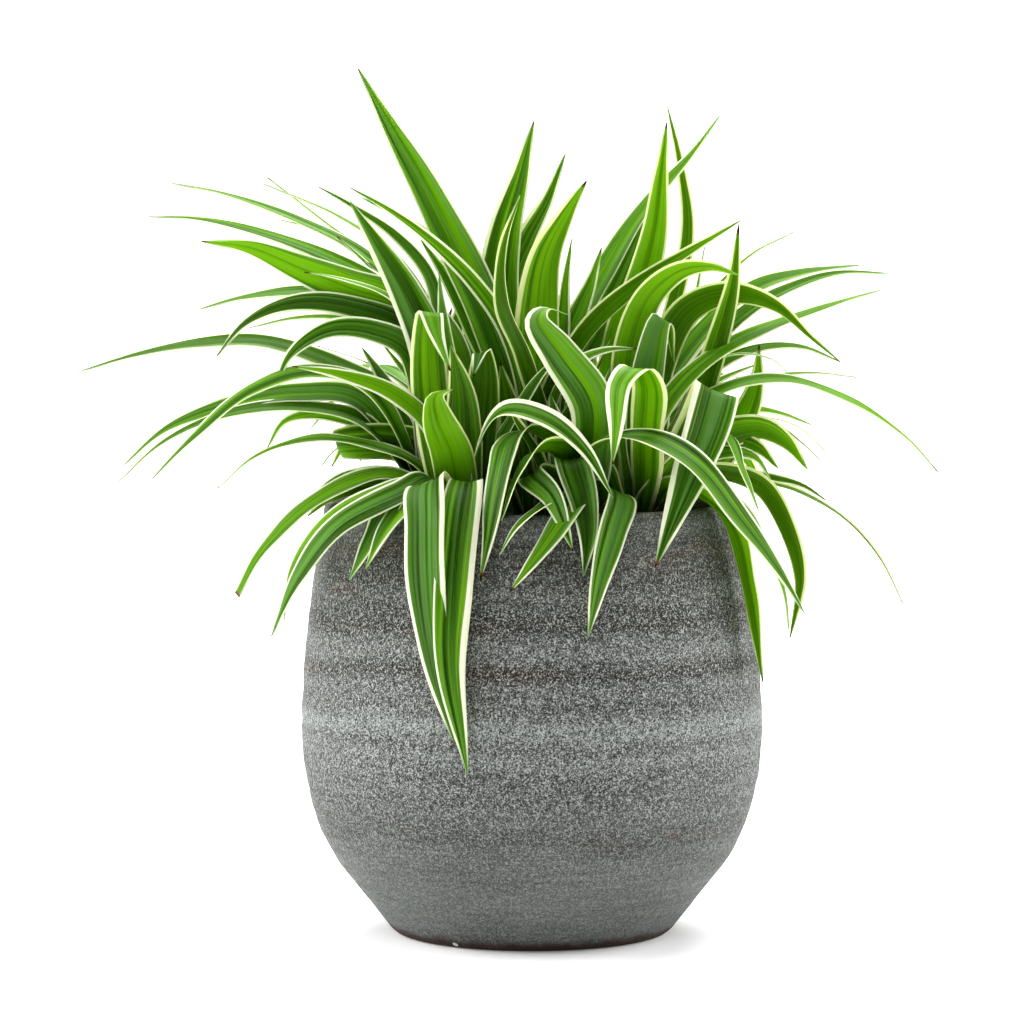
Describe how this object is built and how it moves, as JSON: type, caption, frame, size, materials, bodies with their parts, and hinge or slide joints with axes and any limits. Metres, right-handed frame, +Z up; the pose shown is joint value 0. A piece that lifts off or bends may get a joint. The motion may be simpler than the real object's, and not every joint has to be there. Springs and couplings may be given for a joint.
{
  "type": "potted spider plant",
  "caption": "Potted spider plant: arching white-edged green leaves in rosettes over a round grey banded pot, standing on a flat foot.",
  "frame": {"origin": "middle of the pot's flat underside, on the surface that the pot stands on", "axes": "+Z up along the pot's own axis, -Y towards the front of the plant as pictured, +X to the picture's right"},
  "size_m": [0.429, 0.3521, 0.431],
  "materials": {
    "pot": "matte, finely pitted, with horizontal bands",
    "grow_pot": "matte black",
    "soil": "crumbly dark compost",
    "leaves": "semi-gloss green with cream margins"
  },
  "bodies": {
    "root": {"pot": "pot", "grow_pot": "grow_pot", "potting_soil": "soil", "crown_front_left": "leaves", "crown_left": "leaves", "crown_front": "leaves", "crown_right": "leaves", "crown_centre": "leaves", "crown_back_left": "leaves", "crown_back_right": "leaves"}
  },
  "joints": []
}
